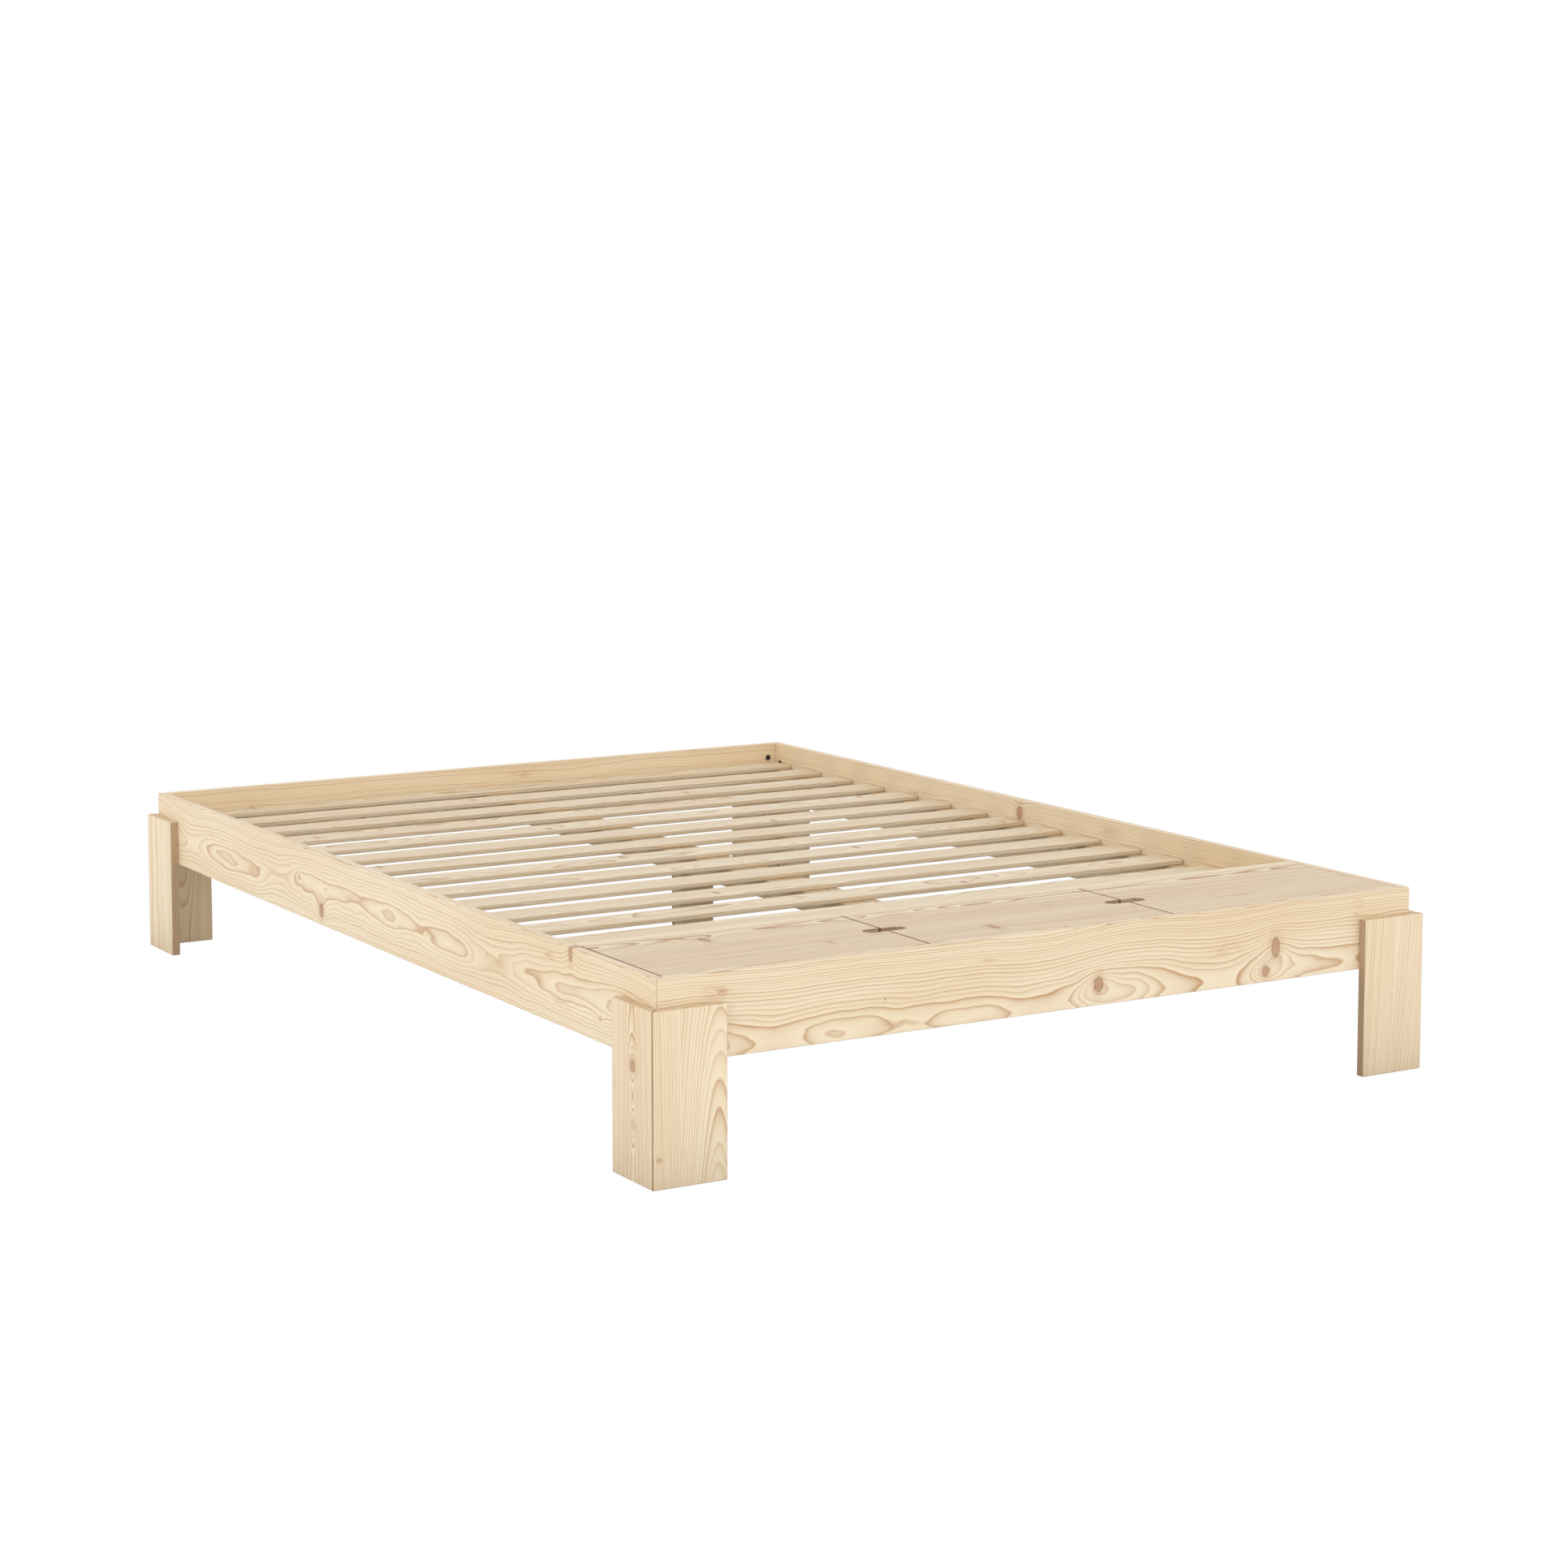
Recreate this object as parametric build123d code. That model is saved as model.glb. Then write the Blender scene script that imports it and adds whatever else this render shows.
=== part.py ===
from build123d import *
import os

# Wooden bed frame for a 160 x 200 cm mattress: a low box of four mitred rails on L-shaped corner legs,
# a slatted deck let into it, and a storage compartment across the foot under three lift-off lids.
# Millimetres. X runs across the bed, Y from the foot (-Y) to the head (+Y), Z up from the floor.
# The origin is on the floor under the middle of the frame.

# Rails
frame_width = 1656.0          # outside of the left rail to outside of the right rail
frame_length = 2376.0         # outside of the foot rail to outside of the head rail
rail_top = 355.0
rail_height = 148.0
rail_thickness = 19.0
edge_radius = 2.5             # rounding of the long edges outside, and of the legs
inner_edge_radius = 1.0       # rounding of the long edges next to the lids and the mattress
mitre_easing = 0.8            # rounding of the sharp tips at the mitres

# Corner legs: two boards mitred together outside each corner of the rails
leg_height = 305.0
leg_width = 145.0             # measured from the leg's outer corner
leg_thickness = 19.0

# Storage compartment
partition_thickness = 28.0
partition_end_gap = 0.5
compartment_depth = 296.5     # foot rail to partition, inside
lid_thickness = 19.0
lid_gap = 2.0                 # between lids, and between a lid and a side rail
lid_edge_gap = 0.5            # between a lid and the foot rail or the partition
lid_count = 3
finger_slot_length = 88.0
finger_slot_width = 30.0
lid_edge_radius = 0.8
batten_width = 45.0
batten_thickness = 19.0
batten_inset = 62.0           # lid end to the batten
batten_clearance = 2.0        # batten end to the lid cleat
lid_cleat_width = 20.0
lid_cleat_height = 30.0
lid_cleat_end_gap = 36.0      # leaves the corner fittings free
floor_thickness = 9.0
floor_gap = 1.0
floor_cleat_size = 20.0

# Slatted deck
slat_count = 14
slat_width = 78.0
slat_thickness = 10.0
slat_radius = 2.5
slat_drop = 47.0              # rail top to slat top
slat_end_gap = 3.0
first_slat_gap = 1.0          # head rail to the first slat
last_slat_gap = 44.3          # last slat to the partition
slat_cleat_width = 40.0
slat_cleat_height = 28.0
slat_cleat_end_gap = 34.0     # leaves the corner fittings free
beam_width = 82.0
beam_height = 40.0
beam_end_gap = 1.0
centre_leg_depth = 40.0
beam_block_thickness = 19.0

# Cam fittings: a cam in the face of one board pulls on a dowel screwed into the next
cam_radius = 7.4
cam_length = 13.5
cam_face_drop = 0.2
cam_axis_depth = 9.5          # board face to the dowel's axis
cam_backset = 22.0            # inner corner to the cam's centre
cam_edge_distance = 35.5      # rail edge to the cams of the end rails
cam_stagger = 13.0            # the side rails' cams sit this much nearer the middle of the rail
cam_recess_length = 9.0
cam_recess_width = 1.8
cam_recess_depth = 3.0
dowel_radius = 2.9
dowel_end_radius = 3.4
dowel_head_length = 3.0
dowel_thread_length = 8.0
dowel_cover = 2.5             # wood left beyond the dowel's tip in a mitred corner
partition_dowel_bite = 12.0   # how far the partition's dowels enter the side rails
partition_cam_spacing = 32.0

# Leg bolts and their threaded inserts
bolt_radius = 3.0
bolt_length = 30.0
bolt_head_radius = 7.5
bolt_head_height = 2.5
bolt_socket_width = 4.0       # across the hexagon's flats
bolt_socket_depth = 2.2
bolt_rise = 43.0              # rail's lower edge to the bolts
bolt_offsets = (82.0, 125.0)  # leg's outer corner to each bolt
insert_radius = 5.0
insert_length = 13.0

# Screws, wooden dowels and pins
screw_radius = 2.0
screw_head_radius = 4.0
screw_head_height = 2.4
screw_tip_length = 4.0
screw_recess_length = 4.4
screw_recess_width = 0.9
screw_recess_depth = 1.6
screw_bite = 11.0             # how far a screw enters the board that it holds to
cleat_screw_count = 5
slat_cleat_screw_count = 6
screw_margin = 90.0           # cleat end to the first screw
block_screw_margin = 16.0
batten_screw_margin = 40.0
beam_dowel_radius = 5.0
beam_dowel_length = 40.0
beam_dowel_inset = 21.0       # centre leg's side to its dowels
pin_radius = 3.0
pin_in_slat = 6.0
pin_in_cleat = 8.0

# Clearances
fit_gap = 0.1                 # round a fitting, screw, dowel or pin in its hole
bore_relief = 1.0             # a blind hole is this much deeper than what goes in
bolt_hole_gap = 0.25
thread_gap = 0.05

# Worked out from the sizes above
rail_bottom = rail_top - rail_height
inner_x = frame_width / 2 - rail_thickness
inner_y = frame_length / 2 - rail_thickness
outer_x = frame_width / 2
outer_y = frame_length / 2
leg_x = outer_x + leg_thickness
leg_y = outer_y + leg_thickness
partition_front = -inner_y + compartment_depth
partition_back = partition_front + partition_thickness
slat_top = rail_top - slat_drop
slat_bottom = slat_top - slat_thickness
slat_pitch = (inner_y - partition_back - first_slat_gap - last_slat_gap - slat_width) / (slat_count - 1)
deck_middle = (inner_y + partition_back) / 2
beam_bottom = slat_bottom - beam_height
lid_bottom = rail_top - lid_thickness
lid_width = (2 * inner_x - (lid_count + 1) * lid_gap) / lid_count
lid_middle_y = (partition_front - inner_y) / 2
floor_bottom = rail_bottom + floor_cleat_size
dowel_length = cam_backset + rail_thickness - dowel_cover
partition_cam_inset = dowel_length - partition_dowel_bite
end_cam_heights = (rail_top - cam_edge_distance, rail_bottom + cam_edge_distance)
side_cam_heights = (end_cam_heights[0] - cam_stagger, end_cam_heights[1] + cam_stagger)
partition_cam_middle = (floor_bottom + floor_thickness + lid_bottom - lid_cleat_height) / 2
partition_cam_heights = tuple(partition_cam_middle + s * partition_cam_spacing / 2 for s in (1, -1))
corners = [(sx, sy) for sy in (-1, 1) for sx in (-1, 1)]
side_names = {-1: "left", 1: "right"}
end_names = {-1: "front", 1: "back"}
low = (Align.CENTER, Align.CENTER, Align.MIN)

parts = {}


def block(x0, x1, y0, y1, z0, z1):
    """Box between two corners."""
    return Pos((x0 + x1) / 2, (y0 + y1) / 2, (z0 + z1) / 2) * Box(x1 - x0, y1 - y0, z1 - z0)


def prism(points, z0, z1):
    """Board cut to an outline in plan."""
    outline = make_face(Polyline(*points, close=True))
    return extrude(Pos(0, 0, z0) * outline, amount=z1 - z0, dir=(0, 0, 1))


def place(template, point, into, along=None):
    """Put a fitting with its mouth at a point, its +Z going into the wood and its +X along the board."""
    return Plane(origin=point, z_dir=into, x_dir=along).location * template


def spread(start, end, margin, count):
    """Evenly spaced places between two ends, a margin in from each."""
    step = (end - start - 2 * margin) / (count - 1)
    return [start + margin + i * step for i in range(count)]


def group(solids):
    """Separate solids in one node."""
    return Compound(children=list(solids))


# Fitting templates, each with its hole: the mouth is at the origin and +Z goes into the wood.
def make_cam():
    cam = Pos(0, 0, cam_face_drop) * Cylinder(cam_radius, cam_length, align=low)
    for turn in (0, 90):
        recess = Box(cam_recess_length, cam_recess_width, 2 * (cam_recess_depth + cam_face_drop))
        cam -= Rot(0, 0, turn) * recess
    mouth = Cylinder(dowel_end_radius + fit_gap, 2 * cam_radius, align=low)
    return cam - Pos(-dowel_head_length, 0, cam_axis_depth) * Rot(0, 90, 0) * mouth


def make_cam_dowel():
    dowel = Cylinder(dowel_radius, dowel_length, align=low)
    dowel += Pos(0, 0, -dowel_head_length / 2) * Cylinder(dowel_end_radius, dowel_head_length, align=low)
    thread = Cylinder(dowel_end_radius, dowel_thread_length, align=low)
    dowel += Pos(0, 0, dowel_length - dowel_thread_length) * thread
    return Pos(0, 0, cam_axis_depth) * Rot(0, 90, 0) * dowel


def make_cam_bore():
    bore = Cylinder(dowel_end_radius + fit_gap, dowel_length + fit_gap, align=low)
    return Pos(0, 0, cam_axis_depth) * Rot(0, 90, 0) * bore


def make_bolt():
    bolt = Cylinder(bolt_radius, bolt_length, align=low)
    bolt += Cylinder(bolt_head_radius, bolt_head_height, align=low)
    return bolt - extrude(RegularPolygon(bolt_socket_width / 2, 6, major_radius=False), bolt_socket_depth)


def make_bolt_hole():
    recess = Cylinder(bolt_head_radius + fit_gap, bolt_head_height + fit_gap, align=low)
    return recess + Cylinder(bolt_radius + bolt_hole_gap, bolt_length + bore_relief, align=low)


def make_insert():
    insert = Cylinder(insert_radius, insert_length, align=low)
    insert -= Cylinder(bolt_radius + thread_gap, insert_length, align=low)
    return Pos(0, 0, rail_thickness) * insert


def make_screw(length):
    screw = Cylinder(screw_radius, length - screw_tip_length, align=low)
    screw += Cone(screw_head_radius, screw_radius, screw_head_height, align=low)
    tip = Cone(screw_radius, screw_radius / 4, screw_tip_length, align=low)
    screw += Pos(0, 0, length - screw_tip_length) * tip
    for turn in (0, 90):
        screw -= Rot(0, 0, turn) * Box(screw_recess_length, screw_recess_width, 2 * screw_recess_depth)
    return screw


def make_screw_hole(length):
    head = Cone(screw_head_radius + fit_gap, screw_radius + fit_gap, screw_head_height, align=low)
    return head + Cylinder(screw_radius + fit_gap, length + fit_gap, align=low)


def make_hole(radius, depth):
    return Cylinder(radius, depth, align=low)


# Rails: the end rails run along X and the side rails along Y, mitred at the corners.
end_outline = [(-outer_x, outer_y), (outer_x, outer_y), (inner_x, inner_y), (-inner_x, inner_y)]
side_outline = [(outer_x, -outer_y), (outer_x, outer_y), (inner_x, inner_y), (inner_x, -inner_y)]


def make_rail(outline, long_axis, along):
    """Mitred board with its long edges rounded and its two sharp upright tips eased."""
    rail = prism(outline, rail_bottom, rail_top)
    rail = fillet(rail.edges().filter_by(long_axis).sort_by(Edge.length)[-2:], edge_radius)
    rail = fillet(rail.edges().filter_by(long_axis).group_by(Edge.length)[0], inner_edge_radius)
    upright = rail.edges().filter_by(Axis.Z)
    reach = max(abs(along(edge)) for edge in upright)
    return fillet([edge for edge in upright if abs(along(edge)) > reach - mitre_easing], mitre_easing)


end_rail = make_rail(end_outline, Axis.X, lambda edge: edge.center().X)
side_rail = make_rail(side_outline, Axis.Y, lambda edge: edge.center().Y)
parts["front_rail"] = mirror(end_rail, about=Plane.XZ)
parts["back_rail"] = end_rail
parts["left_rail"] = mirror(side_rail, about=Plane.YZ)
parts["right_rail"] = side_rail

# Partition between the mattress and the compartment
partition_x = inner_x - partition_end_gap
partition = block(-partition_x, partition_x, partition_front, partition_back, rail_bottom, rail_top)
parts["partition"] = fillet(partition.edges().filter_by(Axis.X), inner_edge_radius)

# Corner legs: the end board runs along X and the side board along Y.
leaf_x = leg_x - leg_width
leaf_y = leg_y - leg_width
end_leaf_outline = [(leg_x, leg_y), (leaf_x, leg_y), (leaf_x, outer_y), (outer_x, outer_y)]
side_leaf_outline = [(leg_x, leg_y), (leg_x, leaf_y), (outer_x, leaf_y), (outer_x, outer_y)]


def off_mitre(edge):
    """Distance in plan from an edge's middle to the plane of the leg's mitre, times root two."""
    return abs((edge.center().X - leg_x) - (edge.center().Y - leg_y))


def make_leaf(outline):
    """Board of a leg, rounded all round but for its mitre, whose sharp upright tip is eased."""
    leaf = prism(outline, 0, leg_height)
    leaf = fillet([edge for edge in leaf.edges() if off_mitre(edge) > leg_thickness / 4], edge_radius)
    tip = leaf.edges().filter_by(Axis.Z).sort_by(lambda edge: edge.center().X + edge.center().Y)[-1]
    return fillet(tip, mitre_easing)


end_leaf = make_leaf(end_leaf_outline)
side_leaf = make_leaf(side_leaf_outline)
for sx, sy in corners:
    corner_name = end_names[sy] + "_" + side_names[sx] + "_leg_"
    for leaf, leaf_name in ((end_leaf, "end_board"), (side_leaf, "side_board")):
        leaf = leaf if sx > 0 else mirror(leaf, about=Plane.YZ)
        leaf = leaf if sy > 0 else mirror(leaf, about=Plane.XZ)
        parts[corner_name + leaf_name] = leaf

# Slatted deck: slats on two side cleats and a centre beam
cleat_y0 = partition_back + beam_end_gap
cleat_y1 = inner_y - slat_cleat_end_gap
for sx in (-1, 1):
    x0, x1 = sorted((sx * (inner_x - slat_cleat_width), sx * inner_x))
    cleat = block(x0, x1, cleat_y0, cleat_y1, slat_bottom - slat_cleat_height, slat_bottom)
    parts[side_names[sx] + "_slat_cleat"] = cleat
slat_x = inner_x - slat_end_gap
slat_places = [inner_y - first_slat_gap - slat_width / 2 - i * slat_pitch for i in range(slat_count)]
slat_names = ["slat_%02d" % (i + 1) for i in range(slat_count)]
for name, y in zip(slat_names, slat_places):
    slat = block(-slat_x, slat_x, y - slat_width / 2, y + slat_width / 2, slat_bottom, slat_top)
    parts[name] = fillet(slat.edges().filter_by(Axis.X), slat_radius)
beam_y0 = partition_back + beam_end_gap
beam_y1 = inner_y - beam_end_gap
beam_x = beam_width / 2
beam = block(-beam_x, beam_x, beam_y0, beam_y1, beam_bottom, slat_bottom)
parts["centre_beam"] = fillet(beam.edges().filter_by(Axis.Y), edge_radius)
leg_y0 = deck_middle - centre_leg_depth / 2
leg_y1 = deck_middle + centre_leg_depth / 2
centre_leg = block(-beam_x, beam_x, leg_y0, leg_y1, 0, beam_bottom)
parts["centre_leg"] = fillet(centre_leg.edges().filter_by(Axis.Z), edge_radius)
front_block_y = partition_back + beam_block_thickness
back_block_y = inner_y - beam_block_thickness
for name, y0, y1 in (
    ("front_beam_block", partition_back, front_block_y),
    ("back_beam_block", back_block_y, inner_y),
):
    parts[name] = block(-beam_x, beam_x, y0, y1, rail_bottom, beam_bottom)

# Storage compartment: floor, cleats and lids
lid_cleat_x = inner_x - lid_cleat_end_gap
lid_cleat_bottom = lid_bottom - lid_cleat_height
front_cleat_y = -inner_y + lid_cleat_width
rear_cleat_y = partition_front - lid_cleat_width
for name, y0, y1 in (
    ("front_lid_cleat", -inner_y, front_cleat_y),
    ("rear_lid_cleat", rear_cleat_y, partition_front),
):
    parts[name] = block(-lid_cleat_x, lid_cleat_x, y0, y1, lid_cleat_bottom, lid_bottom)
floor_x = inner_x - floor_gap
front_ledge_y = -inner_y + floor_cleat_size
rear_ledge_y = partition_front - floor_cleat_size
for name, y0, y1 in (
    ("front_floor_cleat", -inner_y, front_ledge_y),
    ("rear_floor_cleat", rear_ledge_y, partition_front),
):
    parts[name] = block(-floor_x, floor_x, y0, y1, rail_bottom, floor_bottom)
floor_y0 = -inner_y + floor_gap
floor_y1 = partition_front - floor_gap
floor_top = floor_bottom + floor_thickness
parts["storage_floor"] = block(-floor_x, floor_x, floor_y0, floor_y1, floor_bottom, floor_top)

lid_names = ["lid_left", "lid_middle", "lid_right"]
lid_y0 = -inner_y + lid_edge_gap
lid_y1 = partition_front - lid_edge_gap
slot_cut = extrude(SlotOverall(finger_slot_length, finger_slot_width), lid_thickness)
seam_places = [-inner_x + lid_gap / 2 + i * (lid_width + lid_gap) for i in range(lid_count + 1)]
finger_slots = [Pos(x, lid_middle_y, lid_bottom) * slot_cut for x in seam_places[1:-1]]
batten_y0 = front_cleat_y + batten_clearance
batten_y1 = rear_cleat_y - batten_clearance
batten_bottom = lid_bottom - batten_thickness
batten_screw_length = batten_thickness + screw_bite
batten_screw = make_screw(batten_screw_length)
batten_screw_hole = make_screw_hole(batten_screw_length)
for name, seam_x in zip(lid_names, seam_places):
    x0 = seam_x + lid_gap / 2
    x1 = x0 + lid_width
    lid = block(x0, x1, lid_y0, lid_y1, lid_bottom, rail_top) - finger_slots
    lid = fillet(lid.edges().group_by(Axis.Z)[-1], lid_edge_radius)
    screws = []
    starts = (x0 + batten_inset, x1 - batten_inset - batten_width)
    for number, start in enumerate(starts, 1):
        batten = block(start, start + batten_width, batten_y0, batten_y1, batten_bottom, lid_bottom)
        holes = []
        for y in spread(batten_y0, batten_y1, batten_screw_margin, 2):
            point = (start + batten_width / 2, y, batten_bottom)
            screws.append(place(batten_screw, point, (0, 0, 1)))
            holes.append(place(batten_screw_hole, point, (0, 0, 1)))
        parts["%s_batten_%d" % (name, number)] = batten - holes
        lid -= holes
    parts[name] = lid
    parts[name + "_screws"] = group(screws)

# Holes for the fittings are gathered node by node and cut at the end.
holes = {name: [] for name in parts}

# Cam fittings: two crossing pairs in each corner and one pair at each end of the partition
cam = make_cam()
cam_hole = make_hole(cam_radius + fit_gap, cam_face_drop + cam_length + fit_gap)
cam_dowel = make_cam_dowel()
cam_bore = make_cam_bore()
cams = []
cam_dowels = []


def add_cam(point, into, along, own, neighbour):
    """Cam let into the face of one board, with its dowel running on into the neighbouring board."""
    cams.append(place(cam, point, into, along))
    cam_dowels.append(place(cam_dowel, point, into, along))
    bore = place(cam_bore, point, into, along)
    holes[own] += [place(cam_hole, point, into, along), bore]
    holes[neighbour].append(bore)


for sx, sy in corners:
    side = side_names[sx] + "_rail"
    end = end_names[sy] + "_rail"
    for z in end_cam_heights:
        add_cam((sx * (inner_x - cam_backset), sy * inner_y, z), (0, sy, 0), (sx, 0, 0), end, side)
    for z in side_cam_heights:
        add_cam((sx * inner_x, sy * (inner_y - cam_backset), z), (sx, 0, 0), (0, sy, 0), side, end)
for sx in (-1, 1):
    side = side_names[sx] + "_rail"
    for z in partition_cam_heights:
        point = (sx * (inner_x - partition_cam_inset), partition_front, z)
        add_cam(point, (0, 1, 0), (sx, 0, 0), "partition", side)
parts["cams"] = group(cams)
parts["cam_dowels"] = group(cam_dowels)

# Leg bolts go through the rails from inside, into inserts in the legs.
bolt = make_bolt()
bolt_hole = make_bolt_hole()
insert = make_insert()
insert_hole = Pos(0, 0, rail_thickness) * make_hole(insert_radius + fit_gap, insert_length + bore_relief)
bolts = []
inserts = []
for sx, sy in corners:
    corner_name = end_names[sy] + "_" + side_names[sx] + "_leg_"
    for offset in bolt_offsets:
        end_point = (sx * (leg_x - offset), sy * inner_y, rail_bottom + bolt_rise)
        side_point = (sx * inner_x, sy * (leg_y - offset), rail_bottom + bolt_rise)
        for point, into, rail, leaf in (
            (end_point, (0, sy, 0), end_names[sy] + "_rail", corner_name + "end_board"),
            (side_point, (sx, 0, 0), side_names[sx] + "_rail", corner_name + "side_board"),
        ):
            bolts.append(place(bolt, point, into))
            inserts.append(place(insert, point, into))
            holes[rail].append(place(bolt_hole, point, into))
            holes[leaf].append(place(insert_hole, point, into))
parts["leg_bolts"] = group(bolts)
parts["leg_inserts"] = group(inserts)

# Screws through the cleats and the beam's blocks
short_length = lid_cleat_width + screw_bite
long_length = slat_cleat_width + screw_bite
short_screw = make_screw(short_length)
short_hole = make_screw_hole(short_length)
long_screw = make_screw(long_length)
long_hole = make_screw_hole(long_length)
short_screws = []
long_screws = []


def add_screw(screw, hole, point, into, through, held, screws):
    """Screw through one piece into the piece that holds it."""
    screws.append(place(screw, point, into))
    cut = place(hole, point, into)
    holes[through].append(cut)
    holes[held].append(cut)


lid_cleat_z = lid_bottom - lid_cleat_height / 2
floor_cleat_z = rail_bottom + floor_cleat_size / 2
for x in spread(-lid_cleat_x, lid_cleat_x, screw_margin, cleat_screw_count):
    for y, z, into, through, held in (
        (front_cleat_y, lid_cleat_z, -1, "front_lid_cleat", "front_rail"),
        (rear_cleat_y, lid_cleat_z, 1, "rear_lid_cleat", "partition"),
        (front_ledge_y, floor_cleat_z, -1, "front_floor_cleat", "front_rail"),
        (rear_ledge_y, floor_cleat_z, 1, "rear_floor_cleat", "partition"),
    ):
        add_screw(short_screw, short_hole, (x, y, z), (0, into, 0), through, held, short_screws)
block_z = (rail_bottom + beam_bottom) / 2
for x in spread(-beam_x, beam_x, block_screw_margin, 2):
    for y, into, through, held in (
        (front_block_y, -1, "front_beam_block", "partition"),
        (back_block_y, 1, "back_beam_block", "back_rail"),
    ):
        add_screw(short_screw, short_hole, (x, y, block_z), (0, into, 0), through, held, short_screws)
slat_cleat_z = slat_bottom - slat_cleat_height / 2
for y in spread(cleat_y0, cleat_y1, screw_margin, slat_cleat_screw_count):
    for sx in (-1, 1):
        point = (sx * (inner_x - slat_cleat_width), y, slat_cleat_z)
        cleat, rail = side_names[sx] + "_slat_cleat", side_names[sx] + "_rail"
        add_screw(long_screw, long_hole, point, (sx, 0, 0), cleat, rail, long_screws)
parts["short_cleat_screws"] = group(short_screws)
parts["long_cleat_screws"] = group(long_screws)

# Wooden dowels hold the centre beam to its leg and blocks, and pins keep the slats in place.
beam_dowel = Cylinder(beam_dowel_radius, beam_dowel_length)
beam_dowel_hole = Cylinder(beam_dowel_radius + fit_gap, beam_dowel_length + 2 * fit_gap)
beam_dowels = []
beam_dowel_x = beam_x - beam_dowel_inset
for x, y, below in (
    (-beam_dowel_x, deck_middle, "centre_leg"),
    (beam_dowel_x, deck_middle, "centre_leg"),
    (0, (beam_y0 + front_block_y) / 2, "front_beam_block"),
    (0, (beam_y1 + back_block_y) / 2, "back_beam_block"),
):
    beam_dowels.append(Pos(x, y, beam_bottom) * beam_dowel)
    cut = Pos(x, y, beam_bottom) * beam_dowel_hole
    holes["centre_beam"].append(cut)
    holes[below].append(cut)
parts["beam_dowels"] = group(beam_dowels)

pin_length = pin_in_slat + pin_in_cleat
pin = Cylinder(pin_radius, pin_length, align=low)
pin_hole = Pos(0, 0, -fit_gap) * Cylinder(pin_radius + fit_gap, pin_length + 2 * fit_gap, align=low)
pins = []
for name, y in zip(slat_names, slat_places):
    for sx in (-1, 1):
        spot = Pos(sx * (inner_x - slat_cleat_width / 2), y, slat_bottom - pin_in_cleat)
        pins.append(spot * pin)
        holes[name].append(spot * pin_hole)
        holes[side_names[sx] + "_slat_cleat"].append(spot * pin_hole)
parts["slat_pins"] = group(pins)

for name, cuts in holes.items():
    if cuts:
        parts[name] = parts[name] - cuts

os.makedirs("parts", exist_ok=True)
for name, shape in parts.items():
    export_step(shape, "parts/" + name + ".step")
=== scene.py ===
# A pine bed frame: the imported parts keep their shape, and get wood, ply and metal that suit them.
import bpy
import math
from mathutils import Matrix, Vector


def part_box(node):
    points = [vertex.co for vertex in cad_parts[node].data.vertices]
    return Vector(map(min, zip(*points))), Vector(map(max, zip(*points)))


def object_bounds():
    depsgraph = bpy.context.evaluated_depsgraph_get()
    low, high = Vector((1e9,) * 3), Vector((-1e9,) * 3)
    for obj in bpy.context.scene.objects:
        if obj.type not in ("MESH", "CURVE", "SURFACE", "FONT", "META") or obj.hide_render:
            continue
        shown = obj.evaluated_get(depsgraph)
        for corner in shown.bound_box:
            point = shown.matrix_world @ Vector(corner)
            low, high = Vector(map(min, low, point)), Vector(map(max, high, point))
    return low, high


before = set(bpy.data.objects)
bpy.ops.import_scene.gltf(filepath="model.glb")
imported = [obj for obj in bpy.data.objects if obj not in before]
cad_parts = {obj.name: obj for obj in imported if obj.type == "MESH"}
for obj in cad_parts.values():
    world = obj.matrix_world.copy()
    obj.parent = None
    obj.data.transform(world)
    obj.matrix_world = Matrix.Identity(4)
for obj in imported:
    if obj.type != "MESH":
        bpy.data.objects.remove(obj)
cadLow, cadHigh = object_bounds()
print("frame loaded with", len(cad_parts), "parts")


class Wire:
    # One output of a shader node. Operators on wires add Math nodes to the same material.
    def __init__(self, sheet, socket):
        self.sheet = sheet
        self.socket = socket

    def math(self, operation, *values):
        return self.sheet.add("ShaderNodeMath", {"operation": operation}, dict(enumerate(values)))

    def __add__(self, other):
        return self.math("ADD", self, other)

    def __radd__(self, other):
        return self.math("ADD", other, self)

    def __sub__(self, other):
        return self.math("SUBTRACT", self, other)

    def __rsub__(self, other):
        return self.math("SUBTRACT", other, self)

    def __mul__(self, other):
        return self.math("MULTIPLY", self, other)

    def __rmul__(self, other):
        return self.math("MULTIPLY", other, self)

    def __truediv__(self, other):
        return self.math("DIVIDE", self, other)

    def __pow__(self, other):
        return self.math("POWER", self, other)

    def __rpow__(self, other):
        return self.math("POWER", other, self)

    def __abs__(self):
        return self.math("ABSOLUTE", self)

    def over(self, other):
        return self.math("GREATER_THAN", self, other)

    def floor(self):
        return self.math("FLOOR", self)

    def root(self):
        return self.math("SQRT", self)

    def most(self, other):
        return self.math("MAXIMUM", self, other)

    def ease(self, start, end):
        # 0 before start and 1 after end, with a smooth step between; start may be the larger one
        low, high = min(start, end), max(start, end)
        values = {"Value": self, "From Min": low, "From Max": high}
        step = self.sheet.add("ShaderNodeMapRange", {"interpolation_type": "SMOOTHSTEP"}, values)
        return step if start < end else 1 - step


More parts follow.
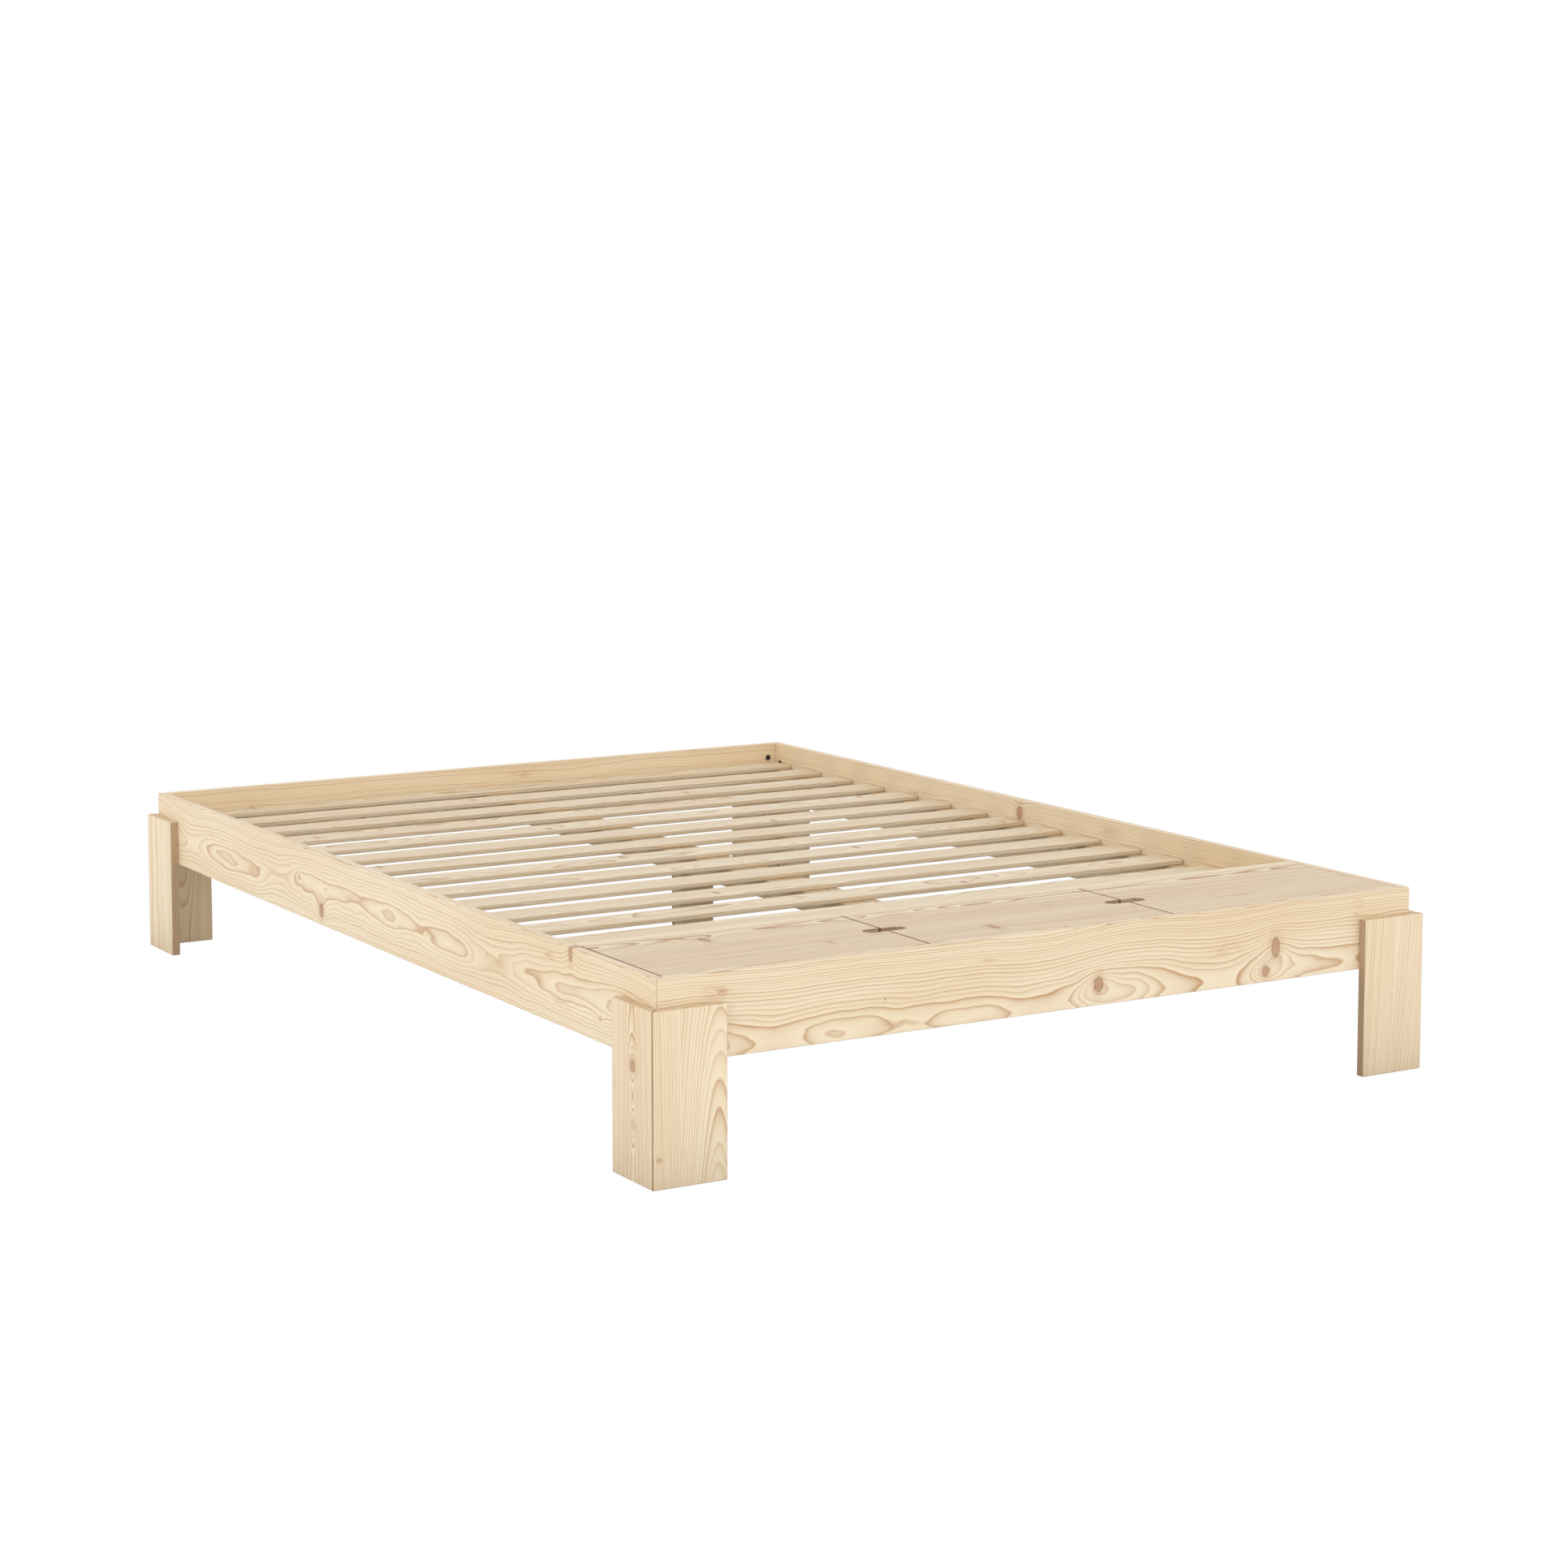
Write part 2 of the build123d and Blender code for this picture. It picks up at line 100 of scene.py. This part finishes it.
class Sheet:
    # The nodes of one material, or of the sky
    def __init__(self, owner):
        owner.use_nodes = True
        self.owner = owner
        self.tree = owner.node_tree
        self.tree.nodes.clear()

    def add(self, kind, settings, values, output=0):
        # settings are set first, then each socket gets its number, colour or wire
        node = self.tree.nodes.new(kind)
        for key, value in settings.items():
            setattr(node, key, value)
        for key, value in values.items():
            if isinstance(value, Wire):
                self.tree.links.new(value.socket, node.inputs[key])
            else:
                node.inputs[key].default_value = value
        return Wire(self, node.outputs[output]) if node.outputs else node

    def mix(self, factor, first, second, blend="MIX"):
        settings = {"data_type": "RGBA", "blend_type": blend}
        return self.add("ShaderNodeMix", settings, {0: factor, 6: first, 7: second}, 2)

    def noise(self, vector, scale, detail=2.0):
        values = {"Vector": vector, "Scale": scale, "Detail": detail}
        return self.add("ShaderNodeTexNoise", {}, values)

    def noiseAlong(self, distance, scale, detail=1.0):
        values = {"W": distance, "Scale": scale, "Detail": detail}
        return self.add("ShaderNodeTexNoise", {"noise_dimensions": "1D"}, values)

    def chance(self, number):
        # one fixed value from 0 to 1 for each whole number
        return self.add("ShaderNodeTexWhiteNoise", {"noise_dimensions": "1D"}, {"W": number})

    def vector(self, x, y, z):
        return self.add("ShaderNodeCombineXYZ", {}, {0: x, 1: y, 2: z})

    def split(self, kind):
        vector = self.add("ShaderNodeTexCoord", {}, {}, kind)
        return [self.add("ShaderNodeSeparateXYZ", {}, {0: vector}, i) for i in range(3)]

    def bump(self, height, strength, distance):
        values = {"Height": height, "Strength": strength, "Distance": distance}
        return self.add("ShaderNodeBump", {}, values)

    def finish(self, values):
        shader = self.add("ShaderNodeBsdfPrincipled", {}, values)
        self.add("ShaderNodeOutputMaterial", {}, {"Surface": shader})
        return self.owner


def newSheet(name):
    return Sheet(bpy.data.materials.new(name))


def colour(red, green, blue):
    # screen colour from 0 to 255 to the linear light that a shader works in
    def linear(value):
        value = value / 255
        return value / 12.92 if value <= 0.04045 else ((value + 0.055) / 1.055) ** 2.4
    return (linear(red), linear(green), linear(blue), 1.0)


def dress(node, material):
    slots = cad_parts[node].data.materials
    for i in range(len(slots)):
        slots[i] = material


# Sizes are in metres, and places on a board are from its middle.
pineWood = {
    "early": colour(249, 233, 202),     # wide pale wood of spring
    "late": colour(200, 158, 112),      # thin line that ends each year
    "warm": colour(237, 209, 168),      # broad warmer patches
    "knot": colour(182, 132, 92),
    "bark": colour(128, 86, 56),        # dark rim round a knot
    "rust": colour(200, 150, 110),      # resin marks
    "jointDarkAndShade": colour(140, 94, 54),        # dark shut joints, and painted shade at the lids' end corners and on the walls of the finger slots
    "edgeShadeTone": colour(172, 140, 106),      # painted shade colour of the narrow long edges
    "ring": 0.0036,                     # between two years' lines
    "contrast": 1.0,
    "wave": 0.0045,                     # how far the lines wander sideways
    "wander": (0.010, 0.016),           # how far the tree's centre line strays, across and in depth
    "lean": (0.0, 0.0),                 # its slope along the board
    "pith": (0.0, 0.06),                # the tree's centre line from the board's middle
    "seams": [],                        # glue lines, across, and how far the centre line jumps there
    "knots": [],                        # along, across, radius, height over width, darkness
    "marks": [],                        # along, across, half length, half height, darkness
    "mitres": [],                       # a joint's corner x and y, its slope in plan, darkness
    "ends": 0.0,                        # painted shade over the last two millimetres at both ends
    "edges": 0.0,                       # painted shade on the narrow long edges
    "slots": (),                        # length and half width of the finger slots cut into both ends, whose walls get painted shade
    "roughness": 0.48,
    "shade": 1.0,
    "seed": 1.0,
}

# A pair of noise steps is steps to the metre, along the fibres and across them.
figure = {
    "seedStep": 7.31, "staveStep": 3.7,             # how far apart seeds and staves read the noise
    "strayAcross": 1.3, "strayDepth": 2.2, "strayApart": 31.0,
    "slow": (4.0, 12.0), "quick": (16.0, 40.0), "quickShare": 0.5,
    "spacingStep": 45.0, "spacing": 2.4,            # how uneven the years' widths are
    "sharp": 5.0, "sharpShare": 0.9, "slopeShare": 0.22, "drop": (1.0, 0.86),
    "yearStep": 17.0, "yearLeast": 0.4, "yearMost": 1.5,
    "thread": (14.0, 620.0), "pore": (45.0, 900.0), "poreEdge": (0.66, 0.8),
    "patch": (1.6, 8.0), "patchEdge": (0.35, 0.75),
    "streak": (40.0, 150.0), "streakEdge": (0.34, 0.66), "endEdge": (0.7, 0.9),
    "bumpStrength": 0.25, "bumpHeight": 0.0004,
}
# Distances from a knot's centre are in its radius.
knotLook = {
    "bell": 1.1, "bellLong": 4.0, "bellWide": 4.0,  # how far rings bend round it, the bell's squared sizes
    "ragged": 0.5, "raggedStep": 1.2, "rings": 16.0, "ringDepth": 0.18,
    "body": (1.05, 0.75), "rimOuter": (1.3, 1.0), "rimInner": (0.7, 0.95),
    "heart": (0.28, 0.1), "heartShare": 0.5, "halo": (3.0, 0.8),
}
jointAndShadeLook = {
    "diagonal": 0.7071, "mitre": (0.0013, 0.0005),  # a mitre's line, from faint to dark
    "endFrom": 0.0026, "endTo": 0.0013,             # where the painted shade at an end starts, and is darkest
    # which faces count as slot walls and how much painted shade they get, and where the painted shade of
    # narrow edges starts and is fullest
    "wall": 0.6, "wallShade": 0.3, "edge": (0.5, 0.9),
}
tints = {"patch": 0.45, "threadMiddle": 0.4, "thread": 0.34, "pore": 0.14, "end": 0.3,
         "halo": 0.35, "knot": 0.9, "rim": 0.55}
relief = {"thread": 0.5, "late": 0.6, "pore": 0.4, "lateRough": 0.06, "endRough": 0.12}


def pine(node, grain, face, own):
    # A ring's radius is the distance from the tree's centre line, plus waves, less a bell at each knot.
    wood = {**pineWood, **own}
    low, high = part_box(node)
    middle, half = (low + high) / 2, (high - low) / 2
    g, t = "xyz".index(grain), "xyz".index(face)
    a = 3 - g - t
    sheet = newSheet("pine_" + node)
    seed = wood["seed"] * figure["seedStep"]
    axes, facing = sheet.split("Object"), sheet.split("Normal")
    along, across, depth = axes[g] - middle[g], axes[a] - middle[a], axes[t] - middle[t]

    # staves: each one past a glue line is cut from another place in the tree
    stave, jumpA, jumpT = 0.0, 0.0, 0.0
    for place, moveA, moveT in wood["seams"]:
        past = across.over(place)
        stave, jumpA, jumpT = past + stave, past * moveA + jumpA, past * moveT + jumpT
    shifted = along + stave * figure["staveStep"] + seed

    def fibres(steps):
        return sheet.vector(shifted * steps[0], across * steps[1], depth * steps[1])

    strayA, strayT = wood["wander"]
    leanA, leanT = wood["lean"]
    pithA, pithT = wood["pith"]
    swayA = sheet.noiseAlong(shifted, figure["strayAcross"])
    swayT = sheet.noiseAlong(shifted + figure["strayApart"], figure["strayDepth"])
    pithA = (swayA - 0.5) * (2 * strayA) + along * leanA + pithA
    pithT = (swayT - 0.5) * (2 * strayT) + along * leanT + pithT
    fromA, fromT = across - pithA - jumpA, depth - pithT - jumpT
    radius = (fromA * fromA + fromT * fromT).root()

    # waves in the rings, longer along the grain than across it
    slow = sheet.noise(fibres(figure["slow"]), 1.0)
    quick = sheet.noise(fibres(figure["quick"]), 1.0, 1.0)
    radius = radius + (slow - 0.5) * (2 * wood["wave"])
    radius = radius + (quick - 0.5) * (figure["quickShare"] * wood["wave"])

    knotMask, rimMask, haloMask, markMask = 0.0, 0.0, 0.0, 0.0
    for where, side, size, tall, dark in wood["knots"]:
        dg, da = along - where, (across - side) / tall
        wide = (dg * dg / knotLook["bellLong"] + da * da) / (size * size * knotLook["bellWide"])
        radius = radius - (math.e ** (wide * -1.0)) * (size * knotLook["bell"])
        reach = (dg * dg + da * da).root() / size
        outline = sheet.noise(sheet.vector(along, across, depth), knotLook["raggedStep"] / size)
        reach = reach + (outline - 0.5) * knotLook["ragged"]
        ringed = reach.math("SINE", reach * knotLook["rings"])
        ringed = ringed * knotLook["ringDepth"] + (1 - knotLook["ringDepth"])
        knotMask = reach.ease(*knotLook["body"]) * ringed * dark + knotMask
        rim = reach.ease(*knotLook["rimOuter"]) * reach.ease(*knotLook["rimInner"])
        rimMask = rim * dark + rimMask
        rimMask = reach.ease(*knotLook["heart"]) * (knotLook["heartShare"] * dark) + rimMask
        haloMask = reach.ease(*knotLook["halo"]) * dark + haloMask
    for where, side, long, tall, dark in wood["marks"]:
        dg, da = (along - where) / long, (across - side) / tall
        markMask = (math.e ** ((dg * dg + da * da) * -1.0)) * dark + markMask

    # each year: pale wood, then a line that darkens slowly and ends sharply
    uneven = (sheet.noiseAlong(radius, figure["spacingStep"], 2.0) - 0.5) * figure["spacing"]
    years = radius / wood["ring"] + uneven + seed
    year = years.floor()
    part = years - year
    line = (part ** figure["sharp"]) * figure["sharpShare"] + part * figure["slopeShare"]
    line = line * part.ease(*figure["drop"])
    strength = sheet.chance(year + stave * figure["yearStep"])
    strength = strength * (1 - figure["yearLeast"]) + figure["yearLeast"]
    late = line * strength * (figure["yearMost"] * wood["contrast"])

    # fibres, pores and broad patches
    thread = sheet.noise(fibres(figure["thread"]), 1.0)
    pore = sheet.noise(fibres(figure["pore"]), 1.0, 1.0).ease(*figure["poreEdge"])
    patch = sheet.noise(fibres(figure["patch"]), 1.0).ease(*figure["patchEdge"])

    # sawn ends drink more finish
    end = abs(facing[g]).ease(*figure["endEdge"])

    tone = sheet.mix(patch * tints["patch"], wood["early"], wood["warm"])
    tone = sheet.mix(late, tone, wood["late"])
    fine = (thread - tints["threadMiddle"]) * tints["thread"] + pore * tints["pore"] + end * tints["end"]
    tone = sheet.mix(fine, tone, wood["late"])
    if wood["marks"]:
        streak = sheet.noise(fibres(figure["streak"]), 1.0, 3.0)
        tone = sheet.mix(markMask * streak.ease(*figure["streakEdge"]), tone, wood["rust"])
    if wood["knots"]:
        tone = sheet.mix(haloMask * tints["halo"], tone, wood["rust"])
        tone = sheet.mix(knotMask * tints["knot"], tone, wood["knot"])
        tone = sheet.mix(rimMask * tints["rim"], tone, wood["bark"])

    # dark joints, and painted shade at end corners, on slot walls and on narrow edges
    for x, y, slope, dark in wood["mitres"]:
        aside = abs((axes[0] - x) - (axes[1] - y) * slope) * jointAndShadeLook["diagonal"]
        tone = sheet.mix(aside.ease(*jointAndShadeLook["mitre"]) * dark, tone, wood["jointDarkAndShade"])
    # painted shade in the seams at a board's two ends
    if wood["ends"]:
        last = abs(along).ease(half[g] - jointAndShadeLook["endFrom"], half[g] - jointAndShadeLook["endTo"])
        tone = sheet.mix(last * wood["ends"], tone, wood["jointDarkAndShade"])
    # painted shade on the walls of the finger slots
    if wood["slots"]:
        length, halfWidth = wood["slots"]
        near = abs(along).over(half[g] - length) * (1 - abs(across).over(halfWidth))
        wall = 1 - abs(facing[t]).over(jointAndShadeLook["wall"])
        tone = sheet.mix(near * wall * jointAndShadeLook["wallShade"], tone, wood["jointDarkAndShade"])
    # painted shade on the narrow long edges
    if wood["edges"]:
        tone = sheet.mix(abs(facing[a]).ease(*jointAndShadeLook["edge"]) * wood["edges"], tone, wood["edgeShadeTone"])
    if wood["shade"] != 1.0:
        tone = sheet.mix(1.0, tone, (wood["shade"],) * 3 + (1.0,), "MULTIPLY")

    height = thread * relief["thread"] + late * relief["late"] - pore * relief["pore"]
    dress(node, sheet.finish({
        "Base Color": tone,
        "Roughness": late * relief["lateRough"] + end * relief["endRough"] + wood["roughness"],
        "Normal": sheet.bump(height, figure["bumpStrength"], figure["bumpHeight"]),
    }))


# The rails meet in mitres that show as hairlines.
railMitre = 0.16
railLow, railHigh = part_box("left_rail")[0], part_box("right_rail")[1]
railMitres = {
    (sx, sy): (x, y, sx * sy, railMitre)
    for sx, x in ((-1, railLow[0]), (1, railHigh[0]))
    for sy, y in ((-1, railLow[1]), (1, railHigh[1]))
}
rails = {
    "front_rail": ("x", "y", [(-1, -1), (1, -1)], {
        "pith": (-0.056, 0.075), "wander": (0.008, 0.014), "wave": 0.0050, "ring": 0.0041, "seed": 3,
        "contrast": 1.15,
        "knots": [(0.086, -0.035, 0.0092, 1.4, 1.0), (0.498, -0.010, 0.0092, 1.9, 0.9),
                  (0.474, -0.053, 0.0080, 1.2, 0.9), (-0.374, -0.010, 0.0018, 1.0, 0.9)],
        "marks": [(0.384, -0.001, 0.030, 0.012, 0.55), (-0.156, 0.036, 0.018, 0.004, 0.6),
                  (-0.709, 0.040, 0.030, 0.009, 0.8), (0.700, 0.040, 0.012, 0.022, 0.6)],
    }),
    "left_rail": ("y", "x", [(-1, -1), (-1, 1)], {
        "pith": (-0.002, 0.050), "wander": (0.030, 0.018), "wave": 0.0065, "ring": 0.0042, "seed": 5,
        "knots": [(0.239, -0.043, 0.0095, 1.4, 1.0), (0.355, 0.008, 0.0030, 1.4, 0.5),
                  (-0.986, -0.031, 0.0035, 1.2, 0.5), (-0.874, 0.066, 0.0065, 2.4, 0.9)],
        "marks": [(0.619, -0.015, 0.020, 0.008, 0.5), (0.853, 0.022, 0.020, 0.008, 0.5),
                  (-0.790, 0.046, 0.020, 0.008, 0.6), (-0.278, -0.003, 0.020, 0.008, 0.5),
                  (-0.833, -0.029, 0.030, 0.010, 0.4), (-0.538, 0.003, 0.004, 0.003, 0.8)],
    }),
    "right_rail": ("y", "x", [(1, -1), (1, 1)], {
        "pith": (0.170, 0.060), "wander": (0.008, 0.01), "wave": 0.004, "ring": 0.0042, "seed": 8,
        "knots": [(0.091, 0.0435, 0.0105, 1.3, 1.0), (-0.66, -0.020, 0.0070, 1.3, 0.8)],
        "marks": [(0.52, 0.03, 0.03, 0.01, 0.5), (-0.25, 0.05, 0.03, 0.008, 0.5)],
    }),
    "back_rail": ("x", "y", [(-1, 1), (1, 1)], {
        "pith": (-0.040, 0.055), "wander": (0.02, 0.02), "seed": 11,
        "knots": [(-0.33, -0.030, 0.0060, 1.3, 0.8), (0.41, -0.020, 0.0080, 1.3, 0.9)],
        "marks": [(0.10, 0.05, 0.04, 0.01, 0.5)],
    }),
}
for node, (grain, face, corners, own) in rails.items():
    pine(node, grain, face, {**own, "mitres": [railMitres[corner] for corner in corners]})

partition = {"pith": (0.01, 0.08), "seed": 13, "knots": [(0.4, -0.02, 0.007, 1.3, 0.7)]}
pine("partition", "x", "y", partition)
print("rails done")

# Each leg is two boards with a dark mitre at its corner, and painted shade on their narrow edges.
legs = {
    ("front", "left"): ({
        "pith": (-0.002, 0.028), "wave": 0.0005, "wander": (0.003, 0.001), "lean": (0.0, 0.03),
        "ring": 0.0034, "seed": 17, "contrast": 1.5,
        "knots": [(0.048, -0.004, 0.0095, 0.9, 0.85), (-0.055, -0.006, 0.0085, 0.9, 0.40)],
        "marks": [(0.006, 0.068, 0.020, 0.010, 0.6), (0.100, -0.010, 0.03, 0.008, 0.4)],
    }, {
        "pith": (-0.260, 0.050), "wave": 0.0015, "wander": (0.006, 0.006), "ring": 0.0042, "seed": 21,
        "seams": [(-0.017, 0.316, -0.018)], "lean": (0.01, 0.10),
        "knots": [(-0.101, -0.061, 0.0040, 1.1, 0.5)],
    }),
    ("front", "right"): (
        {"pith": (0.000, 0.050), "seed": 29},
        {"pith": (-0.120, 0.050), "wave": 0.0015, "wander": (0.006, 0.006), "seams": [(0.0, 0.020, 0.03)],
         "lean": (0.06, 0.0), "seed": 23},
    ),
    ("back", "left"): (
        {"pith": (0.030, 0.090), "wave": 0.002, "wander": (0.006, 0.006), "seed": 31},
        {"pith": (0.000, 0.040), "seed": 37},
    ),
    ("back", "right"): ({"pith": (-0.020, 0.070), "seed": 41}, {"pith": (0.000, 0.050), "seed": 43}),
}
legMitre, legEdgeShade = 1.0, 0.75
for (end, side), (sideOwn, endOwn) in legs.items():
    stem = f"{end}_{side}_leg_"
    sideLow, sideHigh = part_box(stem + "side_board")
    x = sideLow[0] if side == "left" else sideHigh[0]
    y = sideLow[1] if end == "front" else sideHigh[1]
    slope = 1 if (side == "left") == (end == "front") else -1
    mitres = [(x, y, slope, legMitre)]
    pine(stem + "side_board", "z", "x", {**sideOwn, "mitres": mitres, "edges": legEdgeShade})
    pine(stem + "end_board", "z", "y", {**endOwn, "mitres": mitres, "edges": legEdgeShade})
print("legs done")

slats = {
    "count": 14, "edges": 0.15, "shade": 0.95, "ring": 0.0042, "spread": 0.618,
    "length": 1.5, "width": 0.06,                   # the field that a knot and a mark fall in
    "knot": (0.0055, 1.6, 0.9), "mark": (0.03, 0.006, 0.7),
    "pithSwing": 0.05, "pithDepth": 0.08, "pithDepthSwing": 0.02, "firstSeed": 50,
}
for i in range(slats["count"]):
    places = []
    for k in (1, 2):
        u = (i * 7 + k * 5) * slats["spread"] % 1.0
        v = (i * 3 + k * 11) * slats["spread"] % 1.0
        places.append(((u - 0.5) * slats["length"], (v - 0.5) * slats["width"]))
    pine(f"slat_{i + 1:02d}", "x", "z", {
        "seed": slats["firstSeed"] + i,
        "ring": slats["ring"], "shade": slats["shade"], "edges": slats["edges"],
        "pith": (slats["pithSwing"] * math.sin(i * 2.3),
                 slats["pithDepth"] + slats["pithDepthSwing"] * math.cos(i * 1.7)),
        "knots": [places[0] + slats["knot"]],
        "marks": [places[1] + slats["mark"]],
    })
print("slats done")

# Lids are glued up from four staves; painted shade on their end corners reads as dark lines at the seams.
lidWood = {
    "seams": [(-0.074, 0.21, 0.01), (0.0, -0.13, -0.01), (0.074, 0.20, 0.01)], "pith": (-0.16, 0.055),
    "wave": 0.0035, "ring": 0.0044, "contrast": 1.9, "ends": 0.75, "slots": (0.047, 0.017), "shade": 0.96,
}
lids = {
    "lid_left": {"seed": 71, "knots": [(-0.055, 0.084, 0.0080, 2.2, 0.9), (0.125, -0.051, 0.0060, 1.8, 0.4)],
                 "marks": [(0.008, 0.031, 0.03, 0.008, 0.5), (0.15, 0.10, 0.06, 0.006, 0.5)]},
    "lid_middle": {"seed": 73, "knots": [(-0.086, -0.081, 0.0075, 2.2, 0.9)],
                   "marks": [(0.12, 0.04, 0.06, 0.006, 0.6), (-0.20, 0.09, 0.05, 0.008, 0.5)]},
    "lid_right": {"seed": 79, "marks": [(-0.05, -0.06, 0.06, 0.008, 0.6), (0.10, 0.09, 0.05, 0.008, 0.6)]},
}
for node, own in lids.items():
    pine(node, "x", "z", {**lidWood, **own})

# Hidden timber gets painted shade, darker and warmer: the letters are the grain's axis and the face's axis.
plainWood = {"early": colour(243, 219, 178), "shade": 0.74}
plain = {
    "left_slat_cleat": "yx", "right_slat_cleat": "yx", "centre_beam": "yz", "centre_leg": "zx",
    "front_beam_block": "zy", "back_beam_block": "zy", "front_lid_cleat": "xy", "rear_lid_cleat": "xy",
    "front_floor_cleat": "xy", "rear_floor_cleat": "xy",
    **{f"{lid}_batten_{n}": "yz" for lid in lids for n in (1, 2)},
}
plainSeed, plainSeedStep = 101, 3
for i, (node, way) in enumerate(plain.items()):
    pine(node, way[0], way[1], {**plainWood, "seed": plainSeed + plainSeedStep * i})
print("lids and hidden timber done")


def beech():
    sheet = newSheet("beech_turned")
    x, y, z = sheet.split("Object")
    fleck = sheet.noise(sheet.vector(x * 300.0, y * 300.0, z * 900.0), 1.0)
    return sheet.finish({
        "Base Color": sheet.mix(fleck.ease(0.4, 0.75), colour(214, 178, 138), colour(186, 146, 106)),
        "Roughness": fleck * 0.1 + 0.5,
        "Normal": sheet.bump(fleck, 0.2, 0.0002),
    })


def plywood():
    sheet = newSheet("plywood_sanded")
    x, y, z = sheet.split("Object")
    figure = sheet.noise(sheet.vector(x * 3.0, y * 40.0, z * 40.0), 1.0, 4.0)
    thread = sheet.noise(sheet.vector(x * 20.0, y * 700.0, z * 700.0), 1.0)
    tone = sheet.mix(figure.ease(0.35, 0.7), colour(226, 203, 168), colour(206, 176, 136))
    return sheet.finish({
        "Base Color": sheet.mix(thread * 0.3, tone, colour(190, 156, 116)),
        "Roughness": figure * 0.1 + 0.5,
        "Normal": sheet.bump(thread, 0.2, 0.0003),
    })


def metal(name, light, dark, roughness):
    sheet = newSheet(name)
    place = sheet.vector(*sheet.split("Object"))
    spot = sheet.noise(place, 2600.0)
    return sheet.finish({
        "Base Color": sheet.mix(sheet.noise(place, 700.0, 3.0), dark, light),
        "Metallic": 1.0,
        "Roughness": spot * 0.2 + roughness,
        "Normal": sheet.bump(spot, 0.1, 0.0001),
    })


beechWood = beech()
plyWood = plywood()
brightZinc = metal("zinc_bright", colour(205, 205, 200), colour(170, 170, 165), 0.28)
darkZinc = metal("zinc_dark", colour(110, 106, 100), colour(62, 60, 58), 0.36)
fittings = {
    "cams": darkZinc, "cam_dowels": brightZinc, "leg_bolts": brightZinc, "leg_inserts": brightZinc,
    "short_cleat_screws": brightZinc, "long_cleat_screws": brightZinc, "beam_dowels": beechWood,
    "slat_pins": beechWood, "storage_floor": plyWood, **{lid + "_screws": brightZinc for lid in lids},
}
for node, material in fittings.items():
    dress(node, material)
print("fittings done")


# One floor is what the camera sees. Another, at the same place, gives back the light that falls on it.
studio = {
    "floorSize": 40.0, "floorWhite": 0.60, "floorGlow": 1.0,
    "cardGlow": 0.46, "cardStart": -0.02, "cardEnd": 0.25,
    "horizon": 1.20, "zenith": 0.74,
    "keyPlace": (-6.5, -6.5, 4.3), "keySize": 5.0, "keyPower": 40.0,
}
black, white = (0.0, 0.0, 0.0, 1.0), (1.0, 1.0, 1.0, 1.0)


def floorPlane(sheet, values):
    name = sheet.owner.name
    size = studio["floorSize"] / 2
    mesh = bpy.data.meshes.new(name)
    corners = [(-size, -size, 0.0), (size, -size, 0.0), (size, size, 0.0), (-size, size, 0.0)]
    mesh.from_pydata(corners, [], [(0, 1, 2, 3)])
    floor = bpy.data.objects.new(name, mesh)
    bpy.context.scene.collection.objects.link(floor)
    mesh.materials.append(sheet.finish({"Roughness": 1.0, "Specular IOR Level": 0.0, **values}))
    return floor


def buildFloor():
    # light cards lie on the bouncing floor all round the bed, and none under it
    sheet = newSheet("floor_bouncing")
    x, y, z = sheet.split("Object")
    aside = (abs(x) - cadHigh[0]).most(abs(y) - cadHigh[1])
    cards = sheet.mix(aside.ease(studio["cardStart"], studio["cardEnd"]), black, white)
    bouncing = floorPlane(sheet, {
        "Base Color": (studio["floorWhite"],) * 3 + (1.0,),
        "Emission Color": cards, "Emission Strength": studio["cardGlow"],
    })
    bouncing.visible_camera = False
    shown = floorPlane(newSheet("floor_shown"), {
        "Base Color": black, "Emission Color": white, "Emission Strength": studio["floorGlow"],
    })
    shown.visible_diffuse = False
    shown.visible_glossy = False
    shown.visible_transmission = False
    shown.visible_shadow = False


def buildSky():
    # brightest at the horizon, darker overhead
    world = bpy.data.worlds.new("studio_sky")
    sheet = Sheet(world)
    up = sheet.split("Generated")[2]
    sky = up.most(0.0) * (studio["zenith"] - studio["horizon"]) + studio["horizon"]
    light = sheet.add("ShaderNodeBackground", {}, {"Color": white, "Strength": sky})
    sheet.add("ShaderNodeOutputWorld", {}, {"Surface": light})
    bpy.context.scene.world = world


def buildKey():
    light = bpy.data.lights.new("key_box", "AREA")
    light.shape = "DISK"
    light.size = studio["keySize"]
    light.energy = studio["keyPower"]
    lamp = bpy.data.objects.new("key_box", light)
    bpy.context.scene.collection.objects.link(lamp)
    lamp.location = studio["keyPlace"]
    lamp.rotation_euler = (-Vector(studio["keyPlace"])).to_track_quat("-Z", "Y").to_euler()
    lamp.visible_camera = False


buildFloor()
buildSky()
buildKey()

camera = {
    "place": (-3.3895, -5.8707, 1.4956), "pitch": 0.1026, "yaw": 0.5404,    # pitch down and yaw right
    "sensor": 36.0, "lens": 74.60, "rise": -0.1,
}
lens = bpy.data.cameras.new("camera")
lens.sensor_width = camera["sensor"]
lens.lens = camera["lens"]
lens.shift_y = camera["rise"]
viewer = bpy.data.objects.new("camera", lens)
viewer.location = camera["place"]
viewer.rotation_euler = (math.pi / 2 - camera["pitch"], 0.0, -camera["yaw"])
bpy.context.scene.collection.objects.link(viewer)
bpy.context.scene.camera = viewer
bpy.context.scene.view_settings.view_transform = "Standard"
print("studio done")
